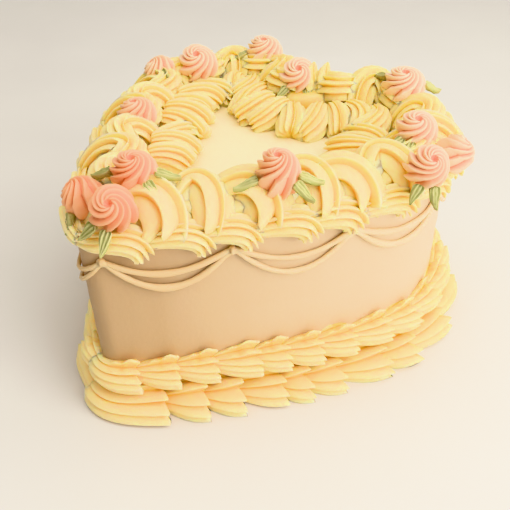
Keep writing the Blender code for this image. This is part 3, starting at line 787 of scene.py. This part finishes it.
# x, y and z of the base, diameter, height, tilt, and the direction it leans to, in degrees from +X
ROSES = [
    (-0.005, 0.0200, 0.117, 0.0212, 0.017, 42, IMAGE_LEFT),
    (0.013, 0.018, 0.121, 0.0235, 0.018, 42, CAMERA_SIDE),
    (0.0065, 0.0368, 0.126, 0.0240, 0.016, 10, CAMERA_SIDE),
    (-0.049, 0.091, 0.120, 0.0240, 0.015, 8, IMAGE_LEFT),
    (-0.084, 0.147, 0.121, 0.0225, 0.015, 35, IMAGE_LEFT),
    (-0.072, 0.166, 0.123, 0.0275, 0.017, 28, CAMERA_SIDE),
    (-0.049, 0.207, 0.123, 0.0260, 0.016, 8, CAMERA_SIDE),
    (-0.0075, 0.1880, 0.1230, 0.0245, 0.017, 36, CAMERA_SIDE),
    (0.059, 0.201, 0.127, 0.0265, 0.016, 10, CAMERA_SIDE),
    (0.090, 0.157, 0.125, 0.0240, 0.015, 16, CAMERA_SIDE),
    (0.107, 0.132, 0.122, 0.0230, 0.018, 38, -36.0),
    (0.108, 0.156, 0.117, 0.0215, 0.017, 40, 39.0),
    (0.059, 0.079, 0.121, 0.0230, 0.022, 10, CAMERA_SIDE),
]
# half width and height of a rose's round form, from the middle of its base over its rim into the hollow
ROSE_PROFILE = np.array([
    (0.0, 0.0), (0.56, 0.0), (0.84, 0.05), (0.96, 0.18), (1.0, 0.34), (0.98, 0.52), (0.90, 0.70),
    (0.75, 0.85), (0.55, 0.95), (0.36, 1.0), (0.20, 0.99), (0.09, 0.93), (0.0, 0.86)])
ROSE_ROWS = 36
pink_cream = Finish("pink_cream")
mottle = pink_cream.grain(70, 3)
# painted shade: the pink is deeper and darker towards the tip, and the fold layer paints deep coral into the
# folds
lit = pink_cream.blend(
    pink_cream.backward() ** 0.7,
    pink_cream.blend(mottle, (0.90, 0.45, 0.24), (0.93, 0.52, 0.30)),
    pink_cream.blend(mottle, (0.97, 0.74, 0.50), (0.98, 0.82, 0.59)))
pink_cream.fill(pink_cream.shader, {
    "Base Color": pink_cream.blend(pink_cream.fold() ** 1.5, lit, (0.86, 0.24, 0.11)),
    "Roughness": 0.42 + 0.2 * mottle,
    "Subsurface Weight": 0.15, "Subsurface Radius": (1.0, 0.5, 0.3), "Subsurface Scale": 0.003,
    "Normal": pink_cream.relief(mottle, strength=0.25, distance=0.0005)})


def lean(x, y, z, tilt, bearing):
    """Stand a piece at a place, tilted towards a bearing in plan, in degrees from +X."""
    upright = Matrix.Rotation(math.radians(bearing), 4, "Z") @ Matrix.Rotation(math.radians(tilt), 4, "Y")
    return Matrix.Translation((x, y, z)) @ upright


levels = np.linspace(0, len(ROSE_PROFILE) - 1, ROSE_ROWS + 1)
rose_wide = np.interp(levels, np.arange(len(ROSE_PROFILE)), ROSE_PROFILE[:, 0])
rose_high = np.interp(levels, np.arange(len(ROSE_PROFILE)), ROSE_PROFILE[:, 1])
for number, (x, y, z, diameter, height, tilt, bearing) in enumerate(ROSES, 1):
    unevenness = random.Random(f"rose {number}")
    ridges = 7 + number % 2
    wind = math.radians(unevenness.uniform(150, 190))
    start = unevenness.uniform(0, 1)
    lopsided = unevenness.uniform(0, 6)

    def rose_skin(row, column):
        wide = rose_wide[row]
        high = rose_high[row]
        on_top = np.where(row > ROSE_ROWS * 0.45, np.clip(1 - wide, 0, 1), 0)
        angle, flute, lip, shade = fluted(column, ridges, 0.34 * np.clip(wide * 2.2, 0, 1))
        angle = angle + 0.10 * np.sin(2 * angle + lopsided) + start + 1.1 * high + wind * on_top ** 1.2
        radius = diameter / 2 * wide * flute * (0.97 + 0.03 * np.sin(3 * angle + lopsided))
        z_here = 0.985 * height * (high - 0.12 * (1 - lip) * np.clip(on_top * 3, 0, 1) * wide)
        in_hollow = (wide < 0.2) & (row > ROSE_ROWS / 2)
        place = np.column_stack([radius * np.cos(angle), radius * np.sin(angle), z_here])
        # painted shade in the folds between the ridges, and most in the hollow
        return place, np.clip(shade * 0.95 + in_hollow * 0.8, 0, 1)

    bm = new_skin()
    piped(bm, ridges * len(FACE), ROSE_ROWS, rose_skin)
    bmesh.ops.transform(bm, matrix=lean(x, y, z, tilt, bearing), verts=bm.verts)
    serve(bm, f"piped_rose_{number:02d}", pink_cream, f"rose_{number:02d}")

# The leaves: pale green buttercream from a leaf nozzle, pleated lengthwise and pulled to a point. Most
# roses have one to three of them, set into their sides.
LEAF_WIDTH = 0.0066
LEAF_SIDES = 32
LEAF_ROWS = 18
LEAF_ROOT = 0.0020
# the rose, the leaf's direction in degrees from +X, its length, and how far it hangs, in degrees
LEAVES = [
    (1, -112, 0.011, 30), (2, -92, 0.011, 20), (2, -60, 0.013, 0), (3, -12, 0.013, 15),
    (3, 30, 0.013, 5), (3, -146, 0.011, 20), (4, 153, 0.010, 20), (4, -88, 0.012, 15),
    (5, -58, 0.012, 10), (5, -22, 0.012, 10), (7, -127, 0.012, 15), (8, -86, 0.013, 8),
    (8, -30, 0.013, 2), (8, -4, 0.012, 5), (9, 174, 0.012, 10), (9, 35, 0.011, 20),
    (10, -100, 0.012, 15), (10, -72, 0.011, 15), (11, -66, 0.011, 25), (11, -34, 0.012, 25),
    (13, -119, 0.013, 6), (13, 30, 0.013, 10), (13, -2, 0.013, 20),
]
green_cream = Finish("green_cream")
mottle = green_cream.grain(90, 3)
lit = green_cream.blend(mottle, (0.42, 0.39, 0.17), (0.51, 0.48, 0.24))
# the fold layer paints shade into the colour, darker in the pleats' hollows
green_cream.fill(green_cream.shader, {
    "Base Color": green_cream.blend(green_cream.fold(), lit, (0.30, 0.32, 0.09)),
    "Roughness": 0.42 + 0.2 * mottle,
    "Subsurface Weight": 0.12, "Subsurface Radius": (0.8, 1.0, 0.3), "Subsurface Scale": 0.002,
    "Normal": green_cream.relief(mottle, strength=0.25, distance=0.0004)})
for count, (number, bearing, length, hang) in enumerate(LEAVES, 1):
    unevenness = random.Random(f"leaf {count}")
    wave = unevenness.uniform(0.3, 0.7)

    def leaf_skin(row, column):
        level = math.pi * row / LEAF_ROWS
        along = (1 - np.cos(level)) / 2
        angle = 2 * math.pi * column / LEAF_SIDES
        taper = (1 - along) ** 0.6 * np.clip(along * 12, 0, 1) ** 0.5
        wide = (0.55 + 0.45 * np.sin(level)) * taper * LEAF_WIDTH * 0.54
        side = np.cos(angle)
        pleat = 1 - 2 * np.abs((side * 1.5 + 0.8 * along) % 1 * 2 - 1)
        body = np.clip(np.sin(level) * 3, 0, 1)
        cupped = LEAF_WIDTH * 0.20 * np.abs(side) * body * (1 - along)
        waved = 0.0012 * wave * np.sin(7 * along) * along
        thick = body * (0.0014 * np.sin(angle) + 0.0011 * pleat * (1 - 0.5 * along))
        place = np.column_stack([along * length, side * wide, 0.0009 + cupped + waved + thick])
        # painted shade in the hollows of the pleats
        return place, np.clip(0.5 - 0.5 * pleat, 0, 1) ** 1.5

    bm = new_skin()
    piped(bm, LEAF_SIDES, LEAF_ROWS, leaf_skin)
    x, y, z, diameter, height, tilt, towards = ROSES[number - 1]
    seat = lean(x, y, z, tilt, towards)
    facing = math.radians(bearing)
    plan = Vector((math.cos(facing), math.sin(facing), 0))
    axis = seat.to_3x3() @ Vector((0, 0, 1))
    along = (plan - axis * plan.dot(axis)).normalized()
    start = seat @ Vector((0, 0, 0.34 * height)) + along * (diameter / 2 - LEAF_ROOT)
    stand = Matrix((along, axis.cross(along), axis)).transposed().to_4x4()
    place = Matrix.Translation(start) @ stand @ Matrix.Rotation(math.radians(hang), 4, "Y")
    bmesh.ops.transform(bm, matrix=place, verts=bm.verts)
    serve(bm, f"piped_leaf_{count:02d}", green_cream, f"leaf_{count:02d}")
